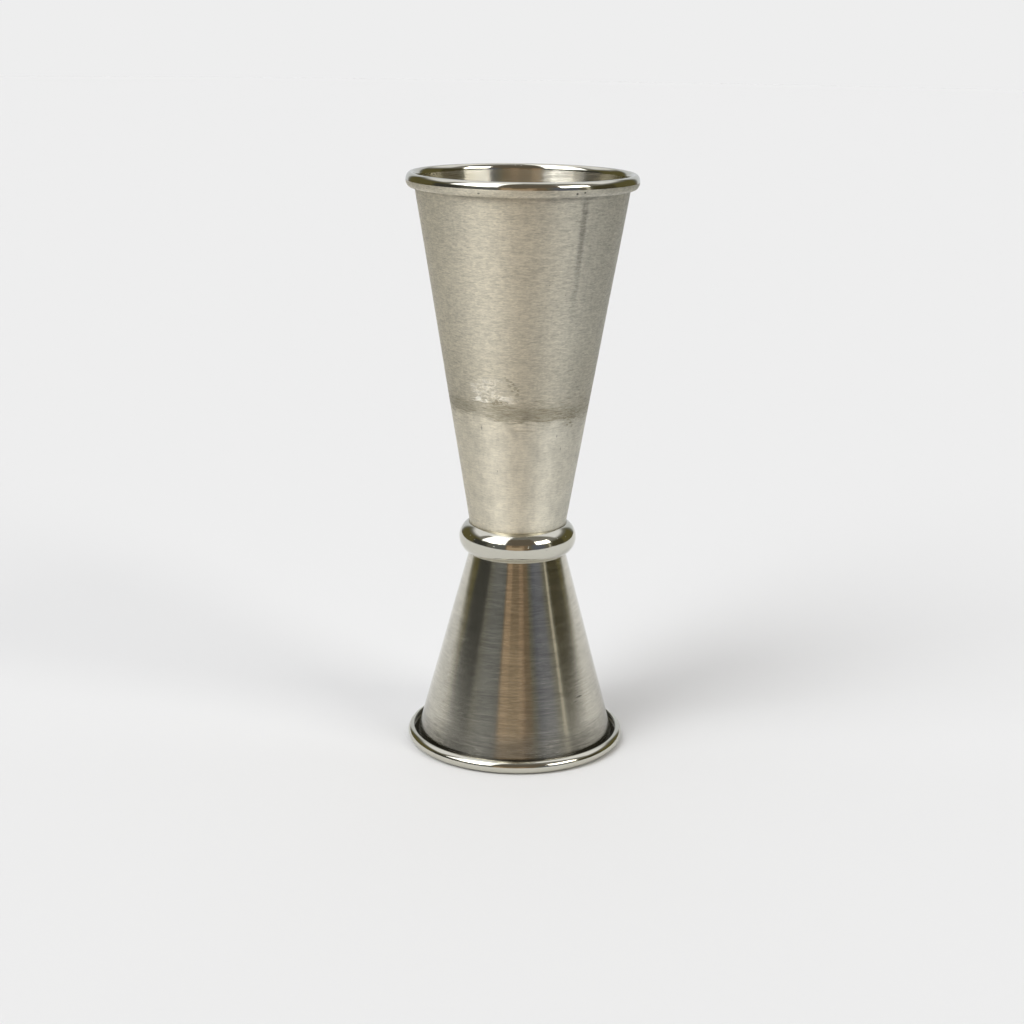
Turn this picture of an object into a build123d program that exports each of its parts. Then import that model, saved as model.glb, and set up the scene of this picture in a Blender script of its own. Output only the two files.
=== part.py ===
from build123d import *
from dataclasses import dataclass
from math import asin, atan2, cos, degrees, hypot, radians, sin, sqrt
import os

# A double-ended bar jigger: a tall measuring cup standing on a short one that
# is turned over. Each cup is a tapered shell of sheet steel with a flat floor
# and a rim rolled outwards. The two floors are brazed back to back, and a solid
# ring around the waist is brazed to both walls.
#
# Millimetres and degrees. +Z is up, the axis of the cups is Z, and the origin is
# the centre of the circle that the lower rim stands on.

# Whole object
HEIGHT = 96.0
WAIST_HEIGHT = 35.7          # height of the plane where the two floors meet
SHEET = 0.4                  # thickness of the sheet of both cups
FLOOR_BEND_RADIUS = 1.0      # inside radius between a floor and its wall

# Tall upper cup
UPPER_RIM_RADIUS = 18.75     # outside of the rolled rim
UPPER_CURL_RADIUS = 0.4      # inside of the roll
UPPER_CURL_LEG = 0.75        # straight drop between the roll's two turns
UPPER_LIP_TURN = 100.0       # turn of the roll's end beyond its outermost side
UPPER_LAND = 0.3             # width of the flat on top, which it stands on turned over

# Short lower cup
LOWER_RIM_RADIUS = 18.35
LOWER_CURL_RADIUS = 0.65
LOWER_CURL_LEG = 0.0
LOWER_LIP_TURN = 88.0
LOWER_LAND = 0.5             # width of the flat that the jigger stands on

# Waist ring
RING_BORE_RADIUS = 8.1
RING_WALL = 1.7              # from the bore to the crown of the ring
RING_HEIGHT = 5.1
RING_EDGE = 0.12             # flat width of each end of the ring
RING_SEAT_GAP = 0.04         # between the bore's two ends and the walls

# Brazed joints
FLOOR_BRAZE_THICKNESS = 0.1
FLOOR_BRAZE_MARGIN = 0.3     # between the filler disc's edge and the bends
RING_BRAZE_INSET = 0.2       # from each end of the ring in to the filler
RING_BRAZE_DEPTH = 0.9       # how far the filler runs on from there


@dataclass
class Cup:
    """One cup, standing on its floor. Points are (radius, height above the joint plane)."""
    depth: float
    rim_radius: float
    curl_radius: float
    curl_leg: float
    lip_turn: float
    land: float

    @property
    def seat(self):
        """The point of the wall's outside that is level with the ring's end."""
        return (RING_BORE_RADIUS - RING_SEAT_GAP, RING_HEIGHT / 2)

    @property
    def curl_outer(self):
        return self.curl_radius + SHEET

    @property
    def curl_centre(self):
        """Centre of the roll's first turn, under the flattened top of the rim."""
        rise = sqrt(self.curl_outer**2 - (self.land / 2)**2)
        return (self.rim_radius - self.curl_outer, self.depth - rise)

    @property
    def taper(self):
        """Half-angle of the wall, which runs from the seat to touch the roll."""
        across = self.curl_centre[0] - self.seat[0]
        up = self.curl_centre[1] - self.seat[1]
        lean = degrees(atan2(across, up))
        return lean - degrees(asin(self.curl_radius / hypot(across, up)))

    @property
    def bend_centre(self):
        """Centre of the bend between the floor and the wall."""
        outer = FLOOR_BEND_RADIUS + SHEET
        height = FLOOR_BRAZE_THICKNESS / 2 + outer
        slope = radians(self.taper)
        shift = ((height - self.seat[1]) * sin(slope) - outer) / cos(slope)
        return (self.seat[0] + shift, height)

    def wall_radius(self, height):
        """Outside radius of the straight wall at a height above the joint plane."""
        slope = radians(self.taper)
        return self.seat[0] + (height - self.seat[1]) * sin(slope) / cos(slope)


UPPER = Cup(
    depth=HEIGHT - WAIST_HEIGHT,
    rim_radius=UPPER_RIM_RADIUS,
    curl_radius=UPPER_CURL_RADIUS,
    curl_leg=UPPER_CURL_LEG,
    lip_turn=UPPER_LIP_TURN,
    land=UPPER_LAND,
)
LOWER = Cup(
    depth=WAIST_HEIGHT,
    rim_radius=LOWER_RIM_RADIUS,
    curl_radius=LOWER_CURL_RADIUS,
    curl_leg=LOWER_CURL_LEG,
    lip_turn=LOWER_LIP_TURN,
    land=LOWER_LAND,
)


def around(centre, radius, angle):
    """The point at an angle on a circle, counted up from the outward direction."""
    turn = radians(angle)
    return (centre[0] + radius * cos(turn), centre[1] + radius * sin(turn))


def turn_over_rim(cup, radius, land):
    """The roll's first turn at one radius, from the wall to the outward side."""
    wall_angle = 180 - cup.taper
    if not land:
        return [CenterArc(cup.curl_centre, radius, wall_angle, -wall_angle)]
    half = degrees(asin(land / 2 / radius))
    near = around(cup.curl_centre, radius, 90 + half)
    far = around(cup.curl_centre, radius, 90 - half)
    return [
        CenterArc(cup.curl_centre, radius, wall_angle, 90 + half - wall_angle),
        Line(near, far),
        CenterArc(cup.curl_centre, radius, 90 - half, half - 90),
    ]


def sheet_face(cup, depth_in_sheet, land):
    """One face of the cup's sheet from the axis to the lip, and where the lip ends.

    depth_in_sheet is 0 for the outside of the cup and SHEET for its inside,
    which the roll turns into the outside of the rim.
    """
    floor = FLOOR_BRAZE_THICKNESS / 2 + depth_in_sheet
    bend = FLOOR_BEND_RADIUS + SHEET - depth_in_sheet
    curl = cup.curl_radius + depth_in_sheet
    wall_foot = around(cup.bend_centre, bend, -cup.taper)
    wall_head = around(cup.curl_centre, curl, 180 - cup.taper)
    edges = [
        Line((0, floor), (cup.bend_centre[0], floor)),
        CenterArc(cup.bend_centre, bend, -90, 90 - cup.taper),
        Line(wall_foot, wall_head),
    ]
    edges += turn_over_rim(cup, curl, land)
    lower_turn = (cup.curl_centre[0], cup.curl_centre[1] - cup.curl_leg)
    if cup.curl_leg:
        edges.append(Line(around(cup.curl_centre, curl, 0), around(lower_turn, curl, 0)))
    edges.append(CenterArc(lower_turn, curl, 0, -cup.lip_turn))
    return edges, around(lower_turn, curl, -cup.lip_turn)


def turned(edges):
    """The solid that a closed outline sweeps around the Z axis."""
    return revolve(Plane.XZ * make_face(edges), axis=Axis.Z)


def cup_shell(cup):
    outside, outside_lip = sheet_face(cup, 0, 0)
    inside, inside_lip = sheet_face(cup, SHEET, cup.land)
    floor = FLOOR_BRAZE_THICKNESS / 2
    lip = Line(outside_lip, inside_lip)
    middle = Line((0, floor), (0, floor + SHEET))
    return turned(outside + inside + [lip, middle])


def waist_ring():
    """The D-shaped ring: a straight bore, two narrow ends and a round crown."""
    half = RING_HEIGHT / 2
    shoulder = RING_BORE_RADIUS + RING_EDGE
    return turned([
        Line((RING_BORE_RADIUS, -half), (RING_BORE_RADIUS, half)),
        Line((RING_BORE_RADIUS, half), (shoulder, half)),
        ThreePointArc((shoulder, half), (RING_BORE_RADIUS + RING_WALL, 0), (shoulder, -half)),
        Line((shoulder, -half), (RING_BORE_RADIUS, -half)),
    ])


def floor_braze():
    """The disc of filler between the two floors, inside both of their bends."""
    radius = min(UPPER.bend_centre[0], LOWER.bend_centre[0]) - FLOOR_BRAZE_MARGIN
    return Cylinder(radius, FLOOR_BRAZE_THICKNESS)


def ring_braze(cup):
    """The wedge of filler between the ring's bore and one cup's wall."""
    end = RING_HEIGHT / 2 - RING_BRAZE_INSET
    inner_end = end - RING_BRAZE_DEPTH
    corners = [
        (cup.wall_radius(inner_end), inner_end),
        (RING_BORE_RADIUS, inner_end),
        (RING_BORE_RADIUS, end),
        (cup.wall_radius(end), end),
    ]
    return turned([Line(a, b) for a, b in zip(corners, corners[1:] + corners[:1])])


def upright(shape):
    return Pos(0, 0, WAIST_HEIGHT) * shape


def turned_over(shape):
    return Pos(0, 0, WAIST_HEIGHT) * Rot(180, 0, 0) * shape


NODES = {
    "upper_cup": upright(cup_shell(UPPER)),
    "lower_cup": turned_over(cup_shell(LOWER)),
    "waist_ring": upright(waist_ring()),
    "floor_braze": upright(floor_braze()),
    "ring_braze_upper": upright(ring_braze(UPPER)),
    "ring_braze_lower": turned_over(ring_braze(LOWER)),
}

os.makedirs("parts", exist_ok=True)
for name, shape in NODES.items():
    export_step(shape, f"parts/{name}.step")
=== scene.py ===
import math
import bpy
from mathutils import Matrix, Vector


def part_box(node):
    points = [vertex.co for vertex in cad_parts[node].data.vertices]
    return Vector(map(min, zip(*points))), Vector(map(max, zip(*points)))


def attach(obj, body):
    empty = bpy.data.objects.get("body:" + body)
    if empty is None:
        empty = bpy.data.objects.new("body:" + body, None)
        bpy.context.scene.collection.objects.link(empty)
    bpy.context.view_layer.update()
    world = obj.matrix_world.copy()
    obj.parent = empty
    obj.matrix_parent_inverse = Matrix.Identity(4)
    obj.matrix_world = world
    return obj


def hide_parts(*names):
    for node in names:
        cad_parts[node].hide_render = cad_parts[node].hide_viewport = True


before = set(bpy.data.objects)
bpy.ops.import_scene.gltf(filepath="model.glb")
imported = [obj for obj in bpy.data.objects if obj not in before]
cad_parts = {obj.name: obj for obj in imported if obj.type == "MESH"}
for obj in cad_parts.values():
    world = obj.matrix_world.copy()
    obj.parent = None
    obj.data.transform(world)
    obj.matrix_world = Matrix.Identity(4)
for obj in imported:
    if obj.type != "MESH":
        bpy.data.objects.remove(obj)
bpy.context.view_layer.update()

from types import SimpleNamespace

import bmesh
import bpy
from mathutils import Matrix, Vector, noise

# A double-ended bar jigger in spun stainless steel. The cups and the ring are
# turned here as fine meshes, from the same sizes as the CAD solids. Metres.

MM = 0.001

# ---------------------------------------------------------------- sizes
SHEET = 0.4 * MM
FLOOR_BEND_RADIUS = 1.0 * MM
RING_BORE_RADIUS = 8.1 * MM
RING_EDGE = 0.12 * MM
RING_SEAT_GAP = 0.04 * MM
UPPER_CURL_RADIUS = 0.4 * MM
UPPER_CURL_LEG = 0.75 * MM
UPPER_LIP_TURN = 100.0  # degrees
LOWER_CURL_RADIUS = 0.65 * MM
LOWER_CURL_LEG = 0.0
LOWER_LIP_TURN = 88.0   # degrees

RING_LOW, RING_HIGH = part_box("waist_ring")
UPPER_LOW, UPPER_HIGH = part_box("upper_cup")
LOWER_LOW, LOWER_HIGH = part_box("lower_cup")
RING_OUTER_RADIUS = RING_HIGH[0]
RING_HALF = (RING_HIGH[2] - RING_LOW[2]) / 2
WAIST_HEIGHT = (RING_HIGH[2] + RING_LOW[2]) / 2
FLOOR_GAP = (UPPER_LOW[2] - LOWER_HIGH[2]) / 2  # from the joint's middle to each floor

ON_AXIS = 1e-9          # a smaller radius than this is the axis itself
SEGMENTS = 360          # around the axis
WALL_STEP = 1.1 * MM    # between rows on a straight wall
BORE_STEP = 0.4 * MM
CROWN_ROWS = 40
ARC_STEP = 6.0          # degrees between rows on a bend

WAVE_DEPTH = 0.03 * MM  # of the unevenness left by spinning
WAVES = 1.7             # about this many waves for each radian round the wall
WAVE_RISE = 102.0       # and this many for each metre up it
TRUE_BAND = 4 * MM      # next to a rim, where the rim holds the wall true
DENTS = [
    SimpleNamespace(azimuth=-14.0, height=61.0 * MM, width=3.2 * MM, tall=1.6 * MM, depth=0.05 * MM),
    SimpleNamespace(azimuth=36.0, height=57.5 * MM, width=2.2 * MM, tall=1.8 * MM, depth=0.03 * MM),
]


# ---------------------------------------------------------------- outlines
# An outline is a list of (radius, height, finish): the finish is that of the
# strip from this point to the next. The metal is on the outline's left.
WALL, INSIDE, BEAD, UNDER_BEAD = range(4)


def on_circle(centre, radius, angle):
    turn = math.radians(angle)
    return (centre[0] + radius * math.cos(turn), centre[1] + radius * math.sin(turn))


def arc(centre, radius, start, end):
    """Points on an arc, both ends included."""
    count = max(2, round(abs(end - start) / ARC_STEP))
    return [on_circle(centre, radius, start + (end - start) * i / count) for i in range(count + 1)]


def between(a, b, step):
    """Evenly spaced points between two ends, without the ends."""
    count = max(1, round(math.dist(a, b) / step))
    return [(a[0] + (b[0] - a[0]) * i / count, a[1] + (b[1] - a[1]) * i / count) for i in range(1, count)]


def finished(points, finish):
    return [(r, z, finish) for r, z in points]


def cup_shape(depth, rim_radius, curl_radius, curl_leg, lip_turn):
    """A cup's sizes, with its taper and the centres of its bends as in the CAD."""
    curl_outer = curl_radius + SHEET
    curl_centre = (rim_radius - curl_outer, depth - curl_outer)
    seat = (RING_BORE_RADIUS - RING_SEAT_GAP, RING_HALF)
    across, up = curl_centre[0] - seat[0], curl_centre[1] - seat[1]
    slope = math.atan2(across, up) - math.asin(curl_radius / math.hypot(across, up))
    bend_outer = FLOOR_BEND_RADIUS + SHEET
    bend_height = FLOOR_GAP + bend_outer
    shift = ((bend_height - seat[1]) * math.sin(slope) - bend_outer) / math.cos(slope)
    return SimpleNamespace(
        curl_radius=curl_radius,
        lip_turn=lip_turn,
        taper=math.degrees(slope),
        bead_centre=(curl_centre[0], curl_centre[1] - curl_leg / 2),
        bead_stretch=curl_leg / 2,
        bend_centre=(seat[0] + shift, bend_height),
    )


def bead_arc(cup, curl, start, end):
    """Part of the oval that the sheet follows round the rim."""
    flat = arc(cup.bead_centre, curl, start, end)
    stretch = (curl + cup.bead_stretch) / curl
    return [(r, cup.bead_centre[1] + (h - cup.bead_centre[1]) * stretch) for r, h in flat]


def sheet_face(cup, depth_in_sheet, skin, over_finish, under_finish):
    """One face of the sheet from the axis to the lip."""
    centre = (0.0, FLOOR_GAP + depth_in_sheet)
    curl = cup.curl_radius + depth_in_sheet
    bend = arc(cup.bend_centre, FLOOR_BEND_RADIUS + SHEET - depth_in_sheet, -90, -cup.taper)
    over = bead_arc(cup, curl, 180 - cup.taper, 0)
    under = bead_arc(cup, curl, 0, -cup.lip_turn)
    wall = [centre] + between(centre, bend[0], WALL_STEP) + bend + between(bend[-1], over[0], WALL_STEP)
    return finished(wall, skin) + finished(over[:-1], over_finish) + finished(under, under_finish)


def cup_outline(cup, way_up):
    """The whole section: outside from the axis to the lip, then inside back to the axis."""
    outside = sheet_face(cup, 0.0, WALL, WALL, WALL)
    inside = sheet_face(cup, SHEET, INSIDE, BEAD, UNDER_BEAD)[::-1]
    lip_middle = ((outside[-1][0] + inside[0][0]) / 2, (outside[-1][1] + inside[0][1]) / 2)
    lip = arc(lip_middle, SHEET / 2, 180 - cup.lip_turn, -cup.lip_turn)[1:-1]
    outside += finished(lip, WALL)
    ends = [a[2] for a in inside[1:]] + [INSIDE]
    inside = [(r, z, end) for (r, z, _), end in zip(inside, ends)]
    points = [(r, WAIST_HEIGHT + way_up * h, finish) for r, h, finish in outside + inside]
    if way_up > 0:
        return points
    finishes = [point[2] for point in points]
    backwards = zip(points[::-1], finishes[-2::-1] + [WALL])
    return [(r, z, finish) for (r, z, _), finish in backwards]


def ring_outline():
    """The ring's section: its crown, a small round nose at each end, and the bore."""
    shoulder = RING_BORE_RADIUS + RING_EDGE
    crown_centre = (RING_OUTER_RADIUS**2 - shoulder**2 - RING_HALF**2) / (2 * (RING_OUTER_RADIUS - shoulder))
    crown = RING_OUTER_RADIUS - crown_centre
    lean = math.degrees(math.acos((RING_BORE_RADIUS + RING_EDGE - crown_centre) / (crown - RING_EDGE)))
    top = on_circle((crown_centre, 0.0), crown - RING_EDGE, lean)
    bottom = (top[0], -top[1])
    rows = range(CROWN_ROWS + 1)
    points = [on_circle((crown_centre, 0.0), crown, -lean + 2 * lean * i / CROWN_ROWS) for i in rows]
    points += arc(top, RING_EDGE, lean, 180)[1:]
    points += between((RING_BORE_RADIUS, top[1]), (RING_BORE_RADIUS, bottom[1]), BORE_STEP)
    points += arc(bottom, RING_EDGE, 180, 360 - lean)[:-1]
    return [(r, WAIST_HEIGHT + h, 0) for r, h in points]


UPPER_DEPTH = UPPER_HIGH[2] - WAIST_HEIGHT
LOWER_DEPTH = WAIST_HEIGHT - LOWER_LOW[2]
UPPER = cup_shape(UPPER_DEPTH, UPPER_HIGH[0], UPPER_CURL_RADIUS, UPPER_CURL_LEG, UPPER_LIP_TURN)
LOWER = cup_shape(LOWER_DEPTH, LOWER_HIGH[0], LOWER_CURL_RADIUS, LOWER_CURL_LEG, LOWER_LIP_TURN)


# ---------------------------------------------------------------- lathe
def handmade(radius, azimuth, z):
    """The small unevenness of a spun wall, which the ring and the rims hold true."""
    off_ring = abs(z - WAIST_HEIGHT) / RING_HALF - 1.0
    off_rims = min(z - LOWER_LOW[2], UPPER_HIGH[2] - z) / TRUE_BAND
    freedom = max(0.0, min(1.0, off_ring, off_rims))
    place = Vector((WAVES * math.sin(azimuth), WAVES * math.cos(azimuth), WAVE_RISE * z))
    wave = noise.noise(place) * WAVE_DEPTH
    for dent in DENTS:
        across = radius * (azimuth - math.radians(dent.azimuth)) / dent.width
        up = (z - dent.height) / dent.tall
        wave -= dent.depth * math.exp(-across * across - up * up)
    return freedom * wave


def lathe(name, outline, closed, uneven):
    """Turns an outline round the Z axis into a mesh with a UV map: quads, or triangles at the axis.

    A closed outline comes back to its first point. An uneven piece has the
    handmade waves and dents, outside the radius of the ring's bore.
    """
    mesh = bpy.data.meshes.new(name)
    bm = bmesh.new()
    rows = []
    for r, z, _ in outline:
        if r < ON_AXIS:
            rows.append([bm.verts.new((0.0, 0.0, z))])
            continue
        row = []
        for j in range(SEGMENTS):
            azimuth = 2 * math.pi * j / SEGMENTS - math.pi
            radius = r + (handmade(r, azimuth, z) if uneven and r > RING_BORE_RADIUS else 0.0)
            row.append(bm.verts.new((radius * math.sin(azimuth), -radius * math.cos(azimuth), z)))
        rows.append(row)
    lengths = [0.0]
    for a, b in zip(outline, outline[1:] + outline[:1]):
        lengths.append(lengths[-1] + math.dist(a[:2], b[:2]))
    uv = bm.loops.layers.uv.new("OFBake")
    for i in range(len(rows) if closed else len(rows) - 1):
        low, high = rows[i], rows[(i + 1) % len(rows)]
        v0, v1 = lengths[i] / lengths[-1], lengths[i + 1] / lengths[-1]
        for j in range(SEGMENTS):
            k = (j + 1) % SEGMENTS
            u0, u1 = j / SEGMENTS, (j + 1) / SEGMENTS
            if len(low) == 1:
                corners = [(low[0], (u0 + u1) / 2, v0), (high[k], u1, v1), (high[j], u0, v1)]
            elif len(high) == 1:
                corners = [(low[j], u0, v0), (low[k], u1, v0), (high[0], (u0 + u1) / 2, v1)]
            else:
                corners = [(low[j], u0, v0), (low[k], u1, v0), (high[k], u1, v1), (high[j], u0, v1)]
            face = bm.faces.new([corner[0] for corner in corners])
            face.smooth = True
            face.material_index = outline[i][2]
            for loop, corner in zip(face.loops, corners):
                loop[uv].uv = (corner[1], corner[2])
    bm.to_mesh(mesh)
    bm.free()
    piece = bpy.data.objects.new(name, mesh)
    bpy.context.scene.collection.objects.link(piece)
    return piece


# ---------------------------------------------------------------- node help
class Nodes:
    """Adds nodes to a tree, so that a pattern reads as a formula."""

    def __init__(self, tree):
        self.tree = tree
        tree.nodes.clear()

    def add(self, kind, **settings):
        node = self.tree.nodes.new(kind)
        for key, value in settings.items():
            setattr(node, key, value)
        return node

    def put(self, socket, value):
        if isinstance(value, bpy.types.NodeSocket):
            self.tree.links.new(value, socket)
        else:
            socket.default_value = value

    def math(self, operation, *values):
        node = self.add("ShaderNodeMath", operation=operation)
        for socket, value in zip(node.inputs, values):
            self.put(socket, value)
        return node.outputs[0]

    def scale(self, vector, factors):
        node = self.add("ShaderNodeVectorMath", operation="MULTIPLY")
        self.put(node.inputs[0], vector)
        self.put(node.inputs[1], factors)
        return node.outputs[0]

    def join(self, x, y, z):
        node = self.add("ShaderNodeCombineXYZ")
        for socket, value in zip(node.inputs, (x, y, z)):
            self.put(socket, value)
        return node.outputs[0]

    def step(self, value, low, high, to_low=0.0, to_high=1.0):
        """A smooth change from one number to another while the value goes from low to high."""
        node = self.add("ShaderNodeMapRange", interpolation_type="SMOOTHSTEP")
        for name, given in (("Value", value), ("From Min", low), ("From Max", high),
                            ("To Min", to_low), ("To Max", to_high)):
            self.put(node.inputs[name], given)
        return node.outputs["Result"]

    def noise(self, place, detail=2.0, rough=0.5, distortion=0.0):
        node = self.add("ShaderNodeTexNoise")
        for name, given in (("Vector", place), ("Scale", 1.0), ("Detail", detail), ("Roughness", rough),
                            ("Distortion", distortion)):
            self.put(node.inputs[name], given)
        return node.outputs["Fac"]

    def mix(self, amount, a, b):
        node = self.add("ShaderNodeMix", data_type="RGBA")
        self.put(node.inputs["Factor"], amount)
        self.put(node.inputs[6], a)
        self.put(node.inputs[7], b)
        return node.outputs[2]

    def band(self, value, low, high, soft):
        """1 between low and high, falling to 0 over soft outside them."""
        rise = self.step(value, low - soft, low)
        fall = self.step(value, high, high + soft, 1.0, 0.0)
        return self.math("MULTIPLY", rise, fall)

    def times(self, *values):
        total = values[0]
        for value in values[1:]:
            total = self.math("MULTIPLY", total, value)
        return total

    def plus(self, *values):
        total = values[0]
        for value in values[1:]:
            total = self.math("ADD", total, value)
        return total

    def swing(self, pattern, amount):
        """A pattern from 0 to 1, turned into a change of up to half the amount each way."""
        return self.times(self.plus(pattern, -0.5), amount)


# ---------------------------------------------------------------- steel
STEEL = (0.60, 0.575, 0.495)
SATIN_STEEL = (0.715, 0.67, 0.555)
# the colour of the painted shade on the tall wall's right side
RIGHT_SHADE_STEEL = (0.67, 0.65, 0.57)
CHALK = (0.80, 0.77, 0.69)
TARNISH = (0.40, 0.365, 0.275)
BUFFED = (0.61, 0.595, 0.52)
FILLER = (0.60, 0.55, 0.42)

QUARTER_TURN = 0.25  # turns the highlights' long way from round the axis to along it
SPOT_CORE = 0.55     # the share of a mark's size that is at full strength
AXIS_GUARD = 1e-9    # square metres, so that nothing is divided by zero on the axis


class Metal(Nodes):
    """A steel finish: patterns are placed by azimuth in degrees and height in mm.

    Azimuth is 0 at the front of the photo and grows towards its right. The
    highlights are drawn out up and down the wall, across the lathe lines.
    """

    def __init__(self, name, anisotropic):
        self.material = bpy.data.materials.new(name)
        self.material.use_nodes = True
        super().__init__(self.material.node_tree)
        output = self.add("ShaderNodeOutputMaterial")
        self.shader = self.add("ShaderNodeBsdfPrincipled")
        self.put(output.inputs["Surface"], self.shader.outputs[0])
        self.shader.inputs["Metallic"].default_value = 1.0
        self.shader.inputs["Anisotropic"].default_value = anisotropic
        self.shader.inputs["Anisotropic Rotation"].default_value = QUARTER_TURN
        tangent = self.add("ShaderNodeTangent", direction_type="RADIAL", axis="Z")
        self.put(self.shader.inputs["Tangent"], tangent.outputs[0])
        self.place = self.add("ShaderNodeTexCoord").outputs["Object"]
        split = self.add("ShaderNodeSeparateXYZ")
        self.put(split.inputs[0], self.place)
        x, y, z = split.outputs
        radius = self.math("SQRT", self.plus(self.times(x, x), self.times(y, y), AXIS_GUARD))
        self.azimuth = self.math("DEGREES", self.math("ARCTAN2", x, self.times(y, -1.0)))
        self.height = self.times(z, 1 / MM)
        self.sine = self.math("DIVIDE", x, radius)
        self.cosine = self.math("DIVIDE", y, radius)
        self.along = self.times(self.plus(radius, z), 1 / MM)

    def grain(self, length, width, detail=2.0, rough=0.5, wavy=0.0):
        """Grain in dashes of this length round the axis and width along it, in mm."""
        sizes = (length * MM, length * MM, width * MM)
        scaled = self.scale(self.place, [1 / size for size in sizes])
        return self.noise(scaled, detail, rough, wavy)

    def lines(self, turns, width, detail=2.0):
        """Fine lathe lines round the axis, each fading in and out a few times on its way."""
        round_axis = (self.times(self.sine, turns), self.times(self.cosine, turns))
        return self.noise(self.join(*round_axis, self.times(self.along, 1 / width)), detail)

    def spot(self, azimuth, height, half_width, half_height, ragged=0.0, warp=None):
        """1 inside an oval mark on the wall, 0 outside it."""
        across = self.times(self.plus(self.azimuth, -azimuth), 1 / half_width)
        up = self.times(self.plus(self.height, -height), 1 / half_height)
        distance = self.math("SQRT", self.plus(self.times(across, across), self.times(up, up)))
        if warp is not None:
            distance = self.plus(distance, self.swing(warp, ragged))
        return self.step(distance, SPOT_CORE, 1.0, 1.0, 0.0)

    def finish(self, colour, tint, rough, relief):
        """Joins the patterns up. Tint is a factor on the colour; relief is in mm."""
        node = self.add("ShaderNodeVectorMath", operation="SCALE")
        self.put(node.inputs[0], colour)
        self.put(node.inputs["Scale"], tint)
        self.put(self.shader.inputs["Base Color"], node.outputs[0])
        self.put(self.shader.inputs["Roughness"], rough)
        bump = self.add("ShaderNodeBump")
        bump.inputs["Strength"].default_value = 1.0
        bump.inputs["Distance"].default_value = MM
        self.put(bump.inputs["Height"], relief)
        self.put(self.shader.inputs["Normal"], bump.outputs[0])
        return self.material


# Marks by azimuth in degrees and height in mm. A speck has its size in mm, and a
# nick or a pit has half its width in degrees and half its height in mm.
BELT_EDGE = 57.4        # height of the lower edge of the tarnished belt
LEFT_EDGE_RISE = 0.8    # how much higher that edge is on the left side
SPECK_HALF_WIDTH = 6.5  # degrees for each mm of a speck's size
SPECK_HALF_HEIGHT = 1.2
SPECKS = [
    (-10.5, 65.0, 0.18),
    (-9.0, 64.5, 0.24),
    (-6.5, 64.3, 0.17),
    (-7.8, 63.6, 0.30),
    (-4.6, 63.9, 0.22),
    (-3.0, 63.2, 0.34),
    (-1.2, 62.9, 0.22),
    (-1.8, 62.2, 0.28),
    (-5.6, 62.8, 0.20),
    (-18.0, 60.9, 0.36),
    (-20.5, 60.5, 0.26),
    (-15.0, 61.0, 0.24),
    (44.0, 56.6, 0.24),
    (47.5, 56.9, 0.20),
    (50.0, 56.3, 0.22),
]
NICKS = [
    (-33.0, 56.2, 0.8, 0.45),
    (34.0, 54.9, 0.8, 0.3),
    (40.0, 52.6, 0.7, 0.35),
    (17.0, 80.0, 0.4, 0.14),
    (28.0, 78.3, 0.5, 0.12),
    (-20.0, 49.0, 0.7, 0.2),
]
RIM_PITS = [
    (26.5, 94.25, 0.75, 0.2),
    (30.5, 94.4, 0.7, 0.16),
    (-21.0, 94.2, 0.8, 0.14),
]
RING_PITS = [
    (11.0, 36.4, 0.75, 0.17),
    (44.0, 37.2, 0.75, 0.17),
]


def deposit(m, patches, ragged):
    """The pale deposit over the belt: crumbs that lie inside three ovals."""
    crumbs = m.step(m.grain(1.5, 0.85, 4.0, 0.7, 1.5), 0.46, 0.56)
    return m.times(crumbs, m.plus(
        m.spot(-26.0, 62.4, 17.0, 2.4, 2.0, patches),
        m.spot(-31.0, 61.0, 10.0, 0.6, 2.0, ragged),
        m.spot(-9.0, 61.2, 9.0, 1.0, 2.0, ragged),
    ))


def dark_stains(m, ragged, fine):
    """The darkest parts of the belt: long ragged ovals with streaks in them."""
    return m.times(m.step(ragged, 0.30, 0.62, 0.35, 1.15), m.plus(
        m.spot(-16.0, 60.3, 13.0, 1.1, 3.0, ragged),
        m.times(m.spot(10.0, 58.8, 44.0, 1.6, 2.4, ragged), 0.85),
        m.times(m.spot(-54.0, 59.4, 26.0, 1.5, 2.4, ragged), 0.60),
        m.times(m.spot(5.0, 56.1, 14.0, 0.2, 1.6, ragged), 0.9),
        m.times(m.spot(48.0, 58.0, 9.0, 1.1, 4.0, fine), 0.8),
    ))


def speck(m, azimuth, height, size, fine):
    """A small dark speck with a ragged edge."""
    return m.spot(azimuth, height, size * SPECK_HALF_WIDTH, size * SPECK_HALF_HEIGHT, 2.4, fine)


def dark_upright_line(m):
    """The faint dark line that runs down from the rim at the right."""
    return m.times(
        m.band(m.azimuth, 34.0, 35.0, 2.4),
        m.step(m.height, 70.0, 90.0),
        m.step(m.height, 92.6, 94.0, 1.0, 0.0),
    )


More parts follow.
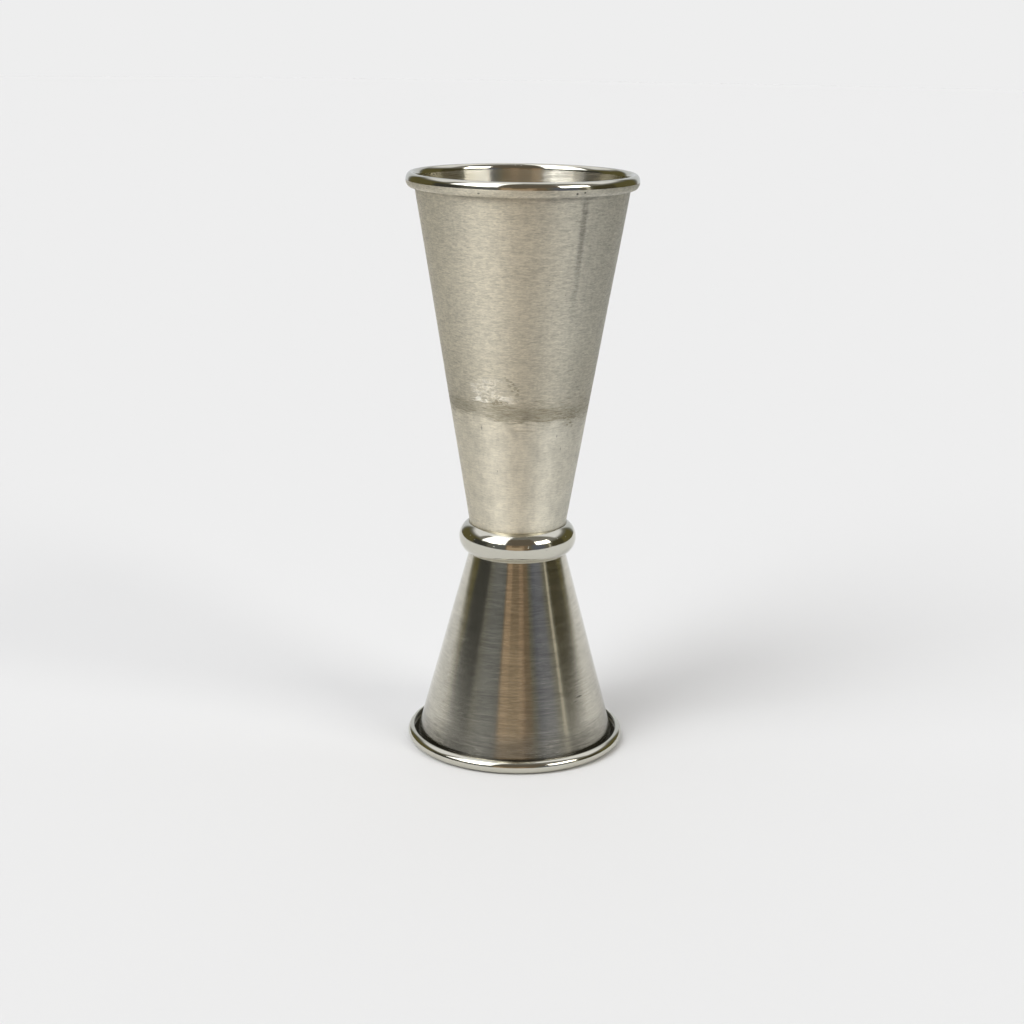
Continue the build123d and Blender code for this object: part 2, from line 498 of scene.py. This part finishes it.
def satin_wall():
    """The tall cup's outside: a wavy satin grain, with a tarnished belt and old stains, painted shade on its
    right side and painted light on its front just above the ring.
    """
    m = Metal("satin_wall", anisotropic=0.7)
    grain = m.step(m.grain(1.2, 0.26, 3.0, 0.6, 0.7), 0.34, 0.66)
    dashes = m.step(m.grain(1.7, 0.21, 2.0, 0.55, 1.2), 0.56, 0.66)
    fine = m.grain(0.45, 0.13, 2.0)
    ripples = m.grain(0.55, 3.2, 2.0)
    blots = m.grain(2.0, 2.4, 3.0, 0.6)
    lines = m.lines(2.5, 0.22)
    scores = m.lines(5.0, 0.28, 3.0)
    cloud = m.grain(9.0, 6.0, 3.0)
    patches = m.grain(2.6, 1.5, 4.0, 0.65)
    ragged = m.grain(2.4, 0.36, 4.0, 0.75)
    wander = m.plus(m.swing(ragged, 4.0), m.swing(patches, 2.0))
    edge = m.plus(BELT_EDGE, m.times(m.band(m.azimuth, -150.0, -34.0, 20.0), LEFT_EDGE_RISE), wander)
    above_edge = m.plus(m.height, m.times(edge, -1.0))
    belt = m.times(
        m.step(above_edge, -0.4, 0.5),
        m.step(above_edge, 1.4, 4.5, 1.0, 0.45),
        m.step(above_edge, 5.0, 16.0, 1.0, 0.0),
    )
    worn = m.step(above_edge, -0.4, 0.5, 1.0, 0.0)
    scored = m.times(m.step(scores, 0.50, 0.62), m.band(m.height, 56.6, 61.0, 1.4))
    chalk = deposit(m, patches, ragged)
    dark = dark_stains(m, ragged, fine)
    specks = m.plus(*[speck(m, azimuth, height, size, fine) for azimuth, height, size in SPECKS])
    scuffs = m.times(m.step(m.lines(7.0, 0.24, 2.0), 0.60, 0.68), m.step(patches, 0.48, 0.60), worn)
    stain = m.plus(
        m.times(belt, 0.34),
        m.times(dark, 0.42),
        m.times(scored, 0.26),
        m.times(specks, 0.50),
        m.times(scuffs, 0.16),
        m.times(chalk, -0.28),
    )
    nicks = m.plus(*[m.spot(*nick) for nick in NICKS])
    pits = m.plus(*[m.spot(*pit) for pit in RIM_PITS])
    # Painted shade: the right side of the wall is painted darker and cooler in patches, more so towards the
    # rim.
    painted_shade_breakup = m.step(m.grain(16.0, 34.0, 1.0), 0.30, 0.60, 0.65, 1.0)
    right_side_painted_shade = m.times(m.band(m.azimuth, 36.0, 120.0, 42.0), painted_shade_breakup)
    # Painted light: the front and front right of the wall are lightened just above the ring, fading out
    # upwards.
    painted_light_above_ring = m.times(m.step(m.height, 39.0, 52.0, 1.0, 0.0), m.band(m.azimuth, 0.0, 60.0, 30.0))
    tint = m.plus(
        1.0,
        m.swing(grain, m.plus(0.20, m.times(worn, -0.08))),
        m.times(dashes, m.plus(-0.13, m.times(worn, 0.06))),
        m.times(chalk, 0.08),
        # painted shade on the right side, darker towards the rim
        m.times(right_side_painted_shade, m.step(m.height, 50.0, 85.0, -0.06, -0.17)),
        m.swing(fine, m.plus(0.40, m.times(worn, -0.06))),
        m.swing(ripples, 0.16),
        m.times(m.swing(blots, 0.46), worn),
        m.swing(lines, 0.10),
        m.swing(cloud, 0.16),
        m.swing(patches, 0.14),
        m.times(dark_upright_line(m), -0.28),
        m.times(nicks, -0.35),
        m.times(pits, -0.6),
        m.times(worn, 0.05),
        # painted light just above the ring
        m.times(painted_light_above_ring, 0.12),
    )
    # the painted shade on the right side also takes the cooler, darker steel colour
    steel = m.mix(right_side_painted_shade, (*SATIN_STEEL, 1.0), (*RIGHT_SHADE_STEEL, 1.0))
    steel = m.mix(m.times(chalk, 0.6), steel, (*CHALK, 1.0))
    rough = m.plus(0.62, m.times(worn, -0.07), m.swing(cloud, 0.08), m.times(stain, 0.05))
    relief = m.plus(
        m.times(grain, m.plus(0.012, m.times(worn, -0.008))),
        m.times(fine, 0.010),
        m.times(lines, 0.006),
        m.times(chalk, 0.02),
        m.times(scored, -0.010),
        m.times(pits, -0.03),
    )
    return m.finish(m.mix(stain, steel, (*TARNISH, 1.0)), tint, rough, relief)


def fine_wall():
    """The short cup's outside: brighter turned, so that it mirrors the room sideways, with painted shade
    just above its rim bead.
    """
    m = Metal("fine_wall", anisotropic=0.62)
    lines = m.lines(2.5, 0.16, 3.0)
    long_lines = m.lines(1.2, 0.7)
    grain = m.grain(1.1, 0.22, 3.0, 0.6)
    smears = m.grain(5.0, 1.2, 4.0, 0.6)
    cloud = m.grain(8.0, 10.0, 3.0)
    hairs = m.step(m.lines(3.5, 0.12, 1.0), 0.66, 0.72)
    scratch = m.plus(m.spot(49.0, 10.6, 3.6, 0.16), m.spot(45.0, 10.0, 2.2, 0.12))
    fleck = m.spot(-38.0, 20.5, 0.7, 0.16)
    # Painted shade: a ragged band just above the rim bead is darkened and made rougher, where the bead
    # shades the wall.
    painted_foot_shade = m.step(m.plus(m.height, m.swing(smears, 2.0)), 3.0, 7.0, 1.0, 0.0)
    tint = m.plus(
        0.94,
        m.swing(lines, 0.50),
        m.swing(grain, 0.52),
        m.swing(smears, 0.36),
        m.swing(cloud, 0.14),
        m.times(hairs, 0.06),
        m.times(scratch, -0.5),
        m.times(fleck, 0.4),
        # painted shade just above the rim bead
        m.times(painted_foot_shade, -0.38),
    )
    worn = m.step(m.height, 4.0, 33.0, 0.05, 0.0)
    rough = m.plus(
        0.122,
        worn,
        m.swing(smears, 0.03),
        m.times(hairs, 0.04),
        m.times(long_lines, 0.01),
        m.times(painted_foot_shade, 0.06),
    )
    relief = m.plus(m.times(lines, 0.0018), m.times(grain, 0.0012), m.times(scratch, -0.01))
    return m.finish(STEEL, tint, rough, relief)


def brushed_inside(name):
    """The inside of a cup: lathe lines over a half polish, with rings on the floor."""
    m = Metal(name, anisotropic=1.0)
    lines = m.lines(3.0, 0.14)
    streaks = m.lines(5.0, 0.5)
    cloud = m.grain(7.0, 5.0, 3.0)
    tint = m.plus(1.07, m.swing(lines, 0.2), m.swing(cloud, 0.14))
    rough = m.plus(0.22, m.swing(streaks, 0.12), m.swing(lines, 0.16))
    relief = m.plus(m.times(lines, 0.0022), m.times(streaks, 0.004))
    return m.finish(STEEL, tint, rough, relief)


def mirror(name, pits):
    """A buffed bead: nearly a mirror, with faint buffing lines and small pits."""
    m = Metal(name, anisotropic=0.5)
    lines = m.lines(6.0, 0.10)
    soft = m.grain(3.2, 1.4, 2.0)
    cloud = m.grain(1.2, 0.5, 3.0)
    pit = m.step(m.grain(0.55, 0.45, 1.0), 0.765, 0.80)
    for place in pits:
        pit = m.plus(pit, m.spot(*place))
    tint = m.plus(1.0, m.swing(cloud, 0.10), m.times(pit, -0.45))
    rough = m.plus(
        0.085,
        m.swing(cloud, 0.06),
        m.swing(lines, 0.12),
        m.times(pit, 0.2),
    )
    relief = m.plus(m.times(lines, 0.0012), m.times(soft, 0.009), m.times(pit, -0.02))
    return m.finish(BUFFED, tint, rough, relief)


def braze():
    """The filler metal in the joints: dull, slightly yellow and unevenly run."""
    m = Metal("braze", anisotropic=0.0)
    cloud = m.grain(0.8, 0.8, 3.0)
    runs = m.grain(0.3, 0.3, 3.0)
    tint = m.plus(1.0, m.swing(cloud, 0.35))
    rough = m.plus(0.42, m.swing(runs, 0.3))
    return m.finish(FILLER, tint, rough, m.times(runs, 0.02))


# ---------------------------------------------------------------- pieces
def add_piece(name, outline, node, materials, closed=False, uneven=True):
    piece = lathe(name, outline, closed, uneven)
    for material in materials:
        piece.data.materials.append(material)
    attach(piece, "root")
    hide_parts(node)


def fill_joints(material):
    """The filler keeps its CAD shapes, and gets its look here."""
    for node in ("floor_braze", "ring_braze_upper", "ring_braze_lower"):
        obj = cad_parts[node]
        if not obj.material_slots:
            obj.data.materials.append(material)
        for material_slot in obj.material_slots:
            material_slot.material = material


SATIN = satin_wall()
RIM = mirror("buffed_rim", [])
UPPER_FINISHES = [SATIN, brushed_inside("tall_inside"), RIM, SATIN]
LOWER_FINISHES = [fine_wall(), brushed_inside("short_inside"), RIM, RIM]
RING_FINISHES = [mirror("buffed_ring", RING_PITS)]
add_piece("tall_cup", cup_outline(UPPER, 1), "upper_cup", UPPER_FINISHES)
add_piece("short_cup", cup_outline(LOWER, -1), "lower_cup", LOWER_FINISHES)
add_piece("ring", ring_outline(), "waist_ring", RING_FINISHES, closed=True, uneven=False)
fill_joints(braze())


# ---------------------------------------------------------------- studio
# The floor is hidden from reflections and the card, in its plane, stands in for
# it there. The dome is seen by the camera alone and is as bright as the floor.
FLOOR_COLOUR = (0.779, 0.785, 0.792)
FLOOR_HALF = 4.0
FLOOR_DROP = 0.05 * MM  # of the floor below the card
CARD_HALF = 0.6
CARD_FRONT = -0.19
HORIZON_SOFT = 2.0      # degrees
BELOW_HORIZON = (0.16, 0.13, 0.10, 1.0)
ABOVE_HORIZON = (0.16, 0.155, 0.12, 1.0)
BACKDROP_RADIUS = 3.0
BACKDROP_TONE = 0.855


def plane(name, low, high):
    mesh = bpy.data.meshes.new(name)
    corners = [(low[0], low[1], 0), (high[0], low[1], 0), (high[0], high[1], 0), (low[0], high[1], 0)]
    mesh.from_pydata(corners, [], [(0, 1, 2, 3)])
    obj = bpy.data.objects.new(name, mesh)
    bpy.context.scene.collection.objects.link(obj)
    return obj


def paper(name, colour):
    material = bpy.data.materials.new(name)
    material.use_nodes = True
    shader = material.node_tree.nodes["Principled BSDF"]
    shader.inputs["Base Color"].default_value = (*colour, 1.0)
    shader.inputs["Roughness"].default_value = 0.9
    shader.inputs["Specular IOR Level"].default_value = 0.0
    return material


floor = plane("floor", (-FLOOR_HALF, -FLOOR_HALF), (FLOOR_HALF, FLOOR_HALF))
floor.location.z = -FLOOR_DROP
floor.data.materials.append(paper("floor_paper", FLOOR_COLOUR))
floor.visible_glossy = False
card = plane("floor_card", (-CARD_HALF, CARD_FRONT), (CARD_HALF, CARD_HALF))
card.data.materials.append(floor.data.materials[0])
card.visible_camera = False
card.visible_diffuse = False
card.visible_shadow = False


def room():
    """The room that lights the floor and shows in the steel, by direction."""
    world = bpy.data.worlds.new("room")
    bpy.context.scene.world = world
    world.use_nodes = True
    n = Nodes(world.node_tree)
    out = n.add("ShaderNodeOutputWorld")
    light = n.add("ShaderNodeBackground")
    n.put(out.inputs["Surface"], light.outputs[0])
    look = n.add("ShaderNodeTexCoord").outputs["Generated"]
    split = n.add("ShaderNodeSeparateXYZ")
    n.put(split.inputs[0], look)
    x, y, z = split.outputs
    azimuth = n.math("DEGREES", n.math("ARCTAN2", x, n.times(y, -1.0)))
    elevation = n.math("DEGREES", n.math("ARCSINE", z))
    colour = n.mix(n.step(elevation, -HORIZON_SOFT, HORIZON_SOFT), BELOW_HORIZON, ABOVE_HORIZON)
    for part in ROOM:
        across = n.band(azimuth, part.left, part.right, part.soft)
        upward = n.band(elevation, part.low, part.high, part.soft)
        colour = n.mix(n.times(across, upward), colour, (*part.colour, 1.0))
    n.put(light.inputs["Color"], colour)


def patch(left, right, low, high, soft, colour):
    """A soft-edged rectangle of the room, in degrees of azimuth and of elevation."""
    return SimpleNamespace(left=left, right=right, low=low, high=high, soft=soft, colour=colour)


# The room, from the far parts to the near ones: a later patch covers an earlier one.
ROOM = [
    # the ceiling, and the brown stretch of it between the two windows
    patch(-200, 200, 34, 100, 8, (0.25, 0.24, 0.22)),
    patch(-22, 37, 24, 60, 6, (0.155, 0.13, 0.10)),
    # bright ceiling over the left and over the back
    patch(-175, -28, 60, 100, 6, (1.5, 1.5, 1.53)),
    patch(100, 200, 40, 80, 10, (1.0, 1.0, 1.03)),
    patch(-200, -100, 40, 80, 10, (1.0, 1.0, 1.03)),
    # olive, dark and grey walls on the left
    patch(-140, -88, -30, 22, 8, (0.13, 0.115, 0.05)),
    patch(-92, -66, -30, 16, 10, (0.055, 0.055, 0.048)),
    patch(-42, -30, -30, 16, 26, (0.15, 0.155, 0.153)),
    # something brown in front, with two lighter uprights and a lighter foot
    patch(-22, 22, -30, 22, 2, (0.215, 0.16, 0.105)),
    patch(-20, -11, -30, 20, 1, (0.40, 0.285, 0.19)),
    patch(5, 13, -30, 20, 1, (0.345, 0.245, 0.165)),
    patch(-20, 9, -30, 8.5, 2, (0.50, 0.385, 0.265)),
    # a bluish wall, a bright narrow slit, and dark and olive walls on the right
    patch(36, 50, -30, 20, 12, (0.135, 0.145, 0.18)),
    patch(65, 68, -30, 30, 1, (0.60, 0.56, 0.46)),
    patch(74, 104, -30, 22, 4, (0.075, 0.066, 0.036)),
    patch(106, 140, -30, 22, 6, (0.13, 0.115, 0.05)),
    # the pale wall behind the jigger
    patch(-200, -155, -30, 38, 9, (0.66, 0.68, 0.70)),
    patch(155, 200, -30, 38, 9, (0.66, 0.68, 0.70)),
    # the left window, its brightest part, and the right window
    patch(-78, -26, 25, 66, 2, (2.4, 2.4, 2.43)),
    patch(-61, -35, 25, 66, 2, (6.0, 6.0, 6.0)),
    patch(41, 71, 24, 40, 2, (7.0, 6.85, 6.5)),
]
room()


def backdrop(radius, tone):
    """A pale dome that only the camera sees, as bright as the floor."""
    mesh = bpy.data.meshes.new("backdrop")
    bm = bmesh.new()
    bmesh.ops.create_uvsphere(bm, u_segments=48, v_segments=24, radius=radius)
    bm.to_mesh(mesh)
    bm.free()
    dome = bpy.data.objects.new("backdrop", mesh)
    bpy.context.scene.collection.objects.link(dome)
    for kind in ("diffuse", "glossy", "transmission", "volume_scatter", "shadow"):
        setattr(dome, f"visible_{kind}", False)
    material = bpy.data.materials.new("backdrop")
    material.use_nodes = True
    n = Nodes(material.node_tree)
    out = n.add("ShaderNodeOutputMaterial")
    glow = n.add("ShaderNodeEmission")
    glow.inputs["Color"].default_value = (tone, tone, tone, 1.0)
    n.put(out.inputs["Surface"], glow.outputs[0])
    mesh.materials.append(material)


backdrop(BACKDROP_RADIUS, BACKDROP_TONE)

# ---------------------------------------------------------------- camera
SENSOR = 36.0
LENS = 65.48
CAMERA_BACK = 0.3014
CAMERA_HEIGHT = 0.1214
TILT = math.radians(15.16)
PAN = math.radians(-0.187)
ROLL = math.radians(0.809)


def camera():
    data = bpy.data.cameras.new("camera")
    data.sensor_width = SENSOR
    data.lens = LENS
    obj = bpy.data.objects.new("camera", data)
    bpy.context.scene.collection.objects.link(obj)
    bpy.context.scene.camera = obj
    forward = Vector((math.sin(PAN) * math.cos(TILT), math.cos(PAN) * math.cos(TILT), -math.sin(TILT)))
    right = Vector((math.cos(PAN), -math.sin(PAN), 0.0))
    up = right.cross(forward)
    turned_right = math.cos(ROLL) * right + math.sin(ROLL) * up
    turned_up = math.cos(ROLL) * up - math.sin(ROLL) * right
    rotation = Matrix((turned_right, turned_up, -forward)).transposed()
    obj.matrix_world = Matrix.Translation((0.0, -CAMERA_BACK, CAMERA_HEIGHT)) @ rotation.to_4x4()


camera()
bpy.context.scene.view_settings.view_transform = "Standard"
